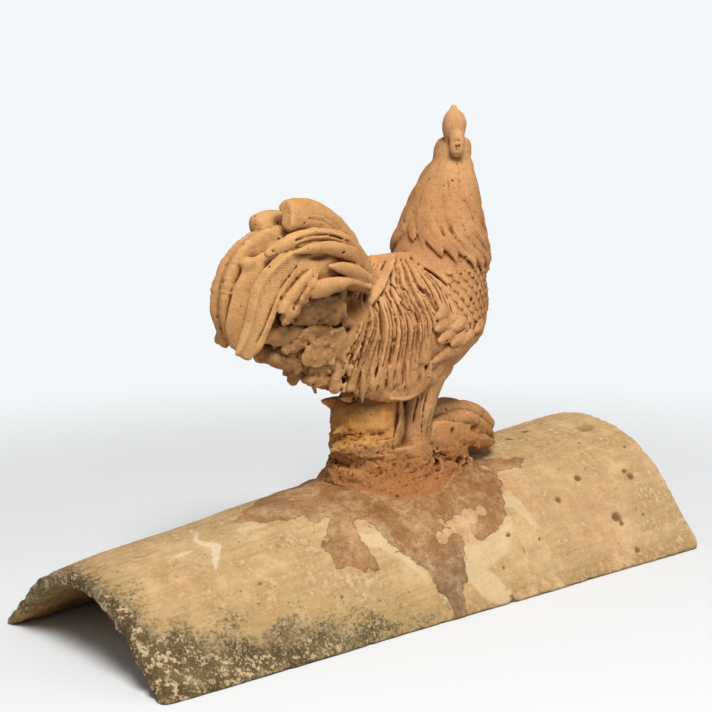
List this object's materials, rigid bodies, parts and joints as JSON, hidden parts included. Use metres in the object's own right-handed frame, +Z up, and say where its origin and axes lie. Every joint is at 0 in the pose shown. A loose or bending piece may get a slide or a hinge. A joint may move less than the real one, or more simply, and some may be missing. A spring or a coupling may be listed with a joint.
{
  "type": "ridge tile with rooster finial",
  "caption": "Tapered half-round terracotta ridge tile, open underneath, with a standing rooster luted to its crown on a rough clay stump.",
  "frame": {"origin": "on the ground plane, under the middle of the tile", "axes": "+X along the ridge from the small end to the large end, the way the rooster walks; +Y to the rooster's left; +Z up"},
  "size_m": [0.5, 0.244, 0.3514],
  "materials": {
    "weathered_tile_clay": "unglazed ochre terracotta, lichen and lime on the small end, red clay smears round the figure",
    "rooster_clay": "unglazed orange terracotta, matt, with soot in the hollows and algae at the foot"
  },
  "bodies": {
    "root": {"ridge_tile": "weathered_tile_clay", "rooster": "rooster_clay"}
  },
  "joints": []
}
